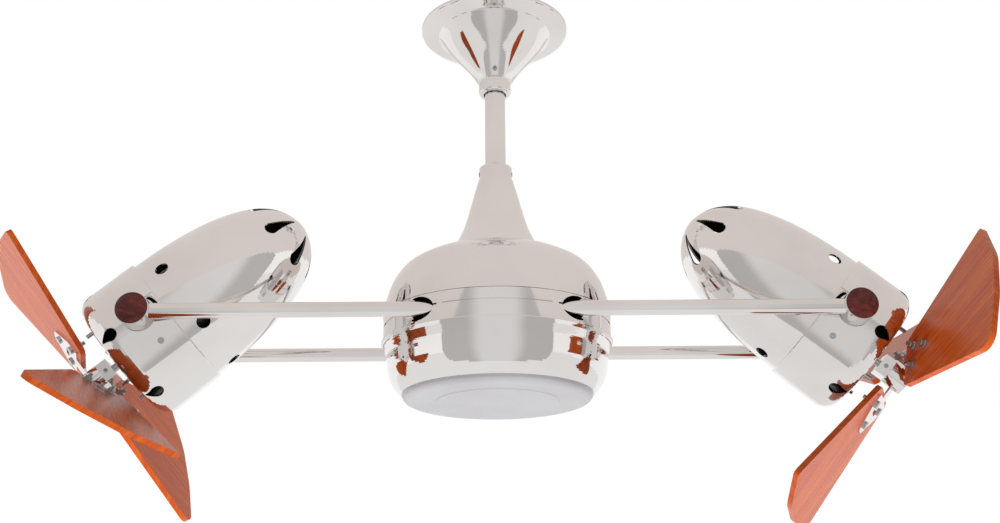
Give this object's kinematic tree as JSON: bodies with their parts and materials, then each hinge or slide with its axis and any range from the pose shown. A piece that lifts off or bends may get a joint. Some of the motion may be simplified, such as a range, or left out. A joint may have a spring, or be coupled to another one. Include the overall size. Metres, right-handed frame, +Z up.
{
  "type": "twin head ceiling fan",
  "caption": "Chrome ceiling fan with tilting motor heads on a turning body, wooden blades, downrod and trumpet canopy.",
  "frame": {"origin": "middle of the ceiling bracket's slotted hole pattern, on the bracket's top face, which lies on the ceiling", "axes": "+Z up, out of the bracket towards the ceiling and along the downrod; +X along the carrying rods towards the right head; +Y towards the back"},
  "size_m": [1.0758, 0.3617, 0.5493],
  "materials": {
    "chrome": "polished",
    "steel": "plain zinc",
    "core_steel": "laminated",
    "cast_metal": "as cast",
    "blade_wood": "satin lacquer",
    "cap_wood": "satin lacquer",
    "pale_disc": "satin",
    "copper": "enamelled copper",
    "black_plastic": "moulded"
  },
  "bodies": {
    "hanger": {"hanger_bracket": "steel", "hanger_ball": "steel", "ball_pin": "steel", "downrod": "chrome", "coupling": "steel", "rod_screws": "steel", "lower_cone": "chrome", "spindle": "steel", "slip_drum": "copper", "spindle_nut": "steel"},
    "canopy": {"canopy": "chrome", "canopy_screw": "steel"},
    "turning_body": {"upper_shell": "chrome", "seam_band": "chrome", "lower_bowl": "chrome", "bottom_disc": "pale_disc", "rod_carrier": "cast_metal", "body_bearings": "steel", "brush_block": "black_plastic", "front_rod": "chrome", "rear_rod": "chrome", "left_cups": "chrome", "right_cups": "chrome", "wood_caps": "cap_wood", "pivot_bolts": "steel"},
    "left_head": {"left_housing": "chrome", "left_tail": "chrome", "left_can": "steel", "left_stator": "core_steel", "left_windings": "copper", "left_bearings": "steel", "left_studs": "steel", "left_housing_screws": "steel"},
    "right_head": {"right_housing": "chrome", "right_tail": "chrome", "right_can": "steel", "right_stator": "core_steel", "right_windings": "copper", "right_bearings": "steel", "right_studs": "steel", "right_housing_screws": "steel"},
    "left_propeller": {"left_shaft": "steel", "left_rotor": "core_steel", "left_hub": "chrome", "left_hub_screw": "steel", "left_irons": "chrome", "left_blade_a": "blade_wood", "left_blade_b": "blade_wood", "left_blade_c": "blade_wood", "left_blade_screws": "steel"},
    "right_propeller": {"right_shaft": "steel", "right_rotor": "core_steel", "right_hub": "chrome", "right_hub_screw": "steel", "right_irons": "chrome", "right_blade_a": "blade_wood", "right_blade_b": "blade_wood", "right_blade_c": "blade_wood", "right_blade_screws": "steel"}
  },
  "joints": [
    {"name": "canopy_slide", "type": "slide", "parent": "hanger", "child": "canopy", "axis": [0, 0, -1], "range_m": [0, 0.082]},
    {"name": "body_turn", "type": "hinge", "parent": "hanger", "child": "turning_body", "pos_m": [0, 0, -0.3555], "axis": [0, 0, 1], "continuous": true},
    {"name": "left_tilt", "type": "hinge", "parent": "turning_body", "child": "left_head", "pos_m": [-0.3513, 0, -0.3555], "axis": [0, 1, 0], "range_deg": [-50.2, 129.8]},
    {"name": "right_tilt", "type": "hinge", "parent": "turning_body", "child": "right_head", "pos_m": [0.3513, 0, -0.3555], "axis": [0, -1, 0], "range_deg": [-50.2, 129.8]},
    {"name": "left_spin", "type": "hinge", "parent": "left_head", "child": "left_propeller", "pos_m": [-0.3513, 0, -0.3555], "axis": [-0.7683, 0, -0.6401], "continuous": true},
    {"name": "right_spin", "type": "hinge", "parent": "right_head", "child": "right_propeller", "pos_m": [0.3513, 0, -0.3555], "axis": [0.7683, 0, -0.6401], "continuous": true}
  ]
}
